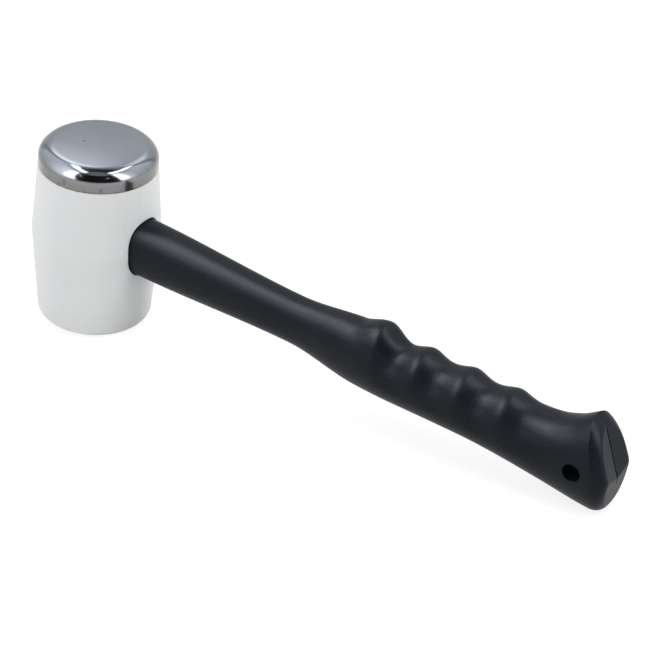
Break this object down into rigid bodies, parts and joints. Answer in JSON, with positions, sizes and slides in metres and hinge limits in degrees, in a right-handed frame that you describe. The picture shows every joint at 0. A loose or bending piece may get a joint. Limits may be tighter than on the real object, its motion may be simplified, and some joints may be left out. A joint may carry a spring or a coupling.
{
  "type": "soft face hammer",
  "caption": "Soft face hammer: white rubber barrel head with a polished steel cap on one end, and a black moulded handle with finger grooves, a flared butt and a hang hole.",
  "frame": {"origin": "centre of the soft striking face", "axes": "+Z along the head from the soft face to the steel face, +X along the handle from the head to the butt, +Y across the handle"},
  "size_m": [0.303, 0.06, 0.089],
  "materials": {
    "white_rubber": "matte",
    "polished_steel": "polished",
    "plain_steel": "machined",
    "fibreglass": "pultruded",
    "adhesive": "cast",
    "black_grip": "satin"
  },
  "bodies": {
    "root": {"rubber_head": "white_rubber", "steel_cap": "polished_steel", "cap_stud": "plain_steel", "stud_anchor": "plain_steel", "handle_core": "fibreglass", "eye_bond": "adhesive", "grip_jacket": "black_grip"}
  },
  "joints": []
}
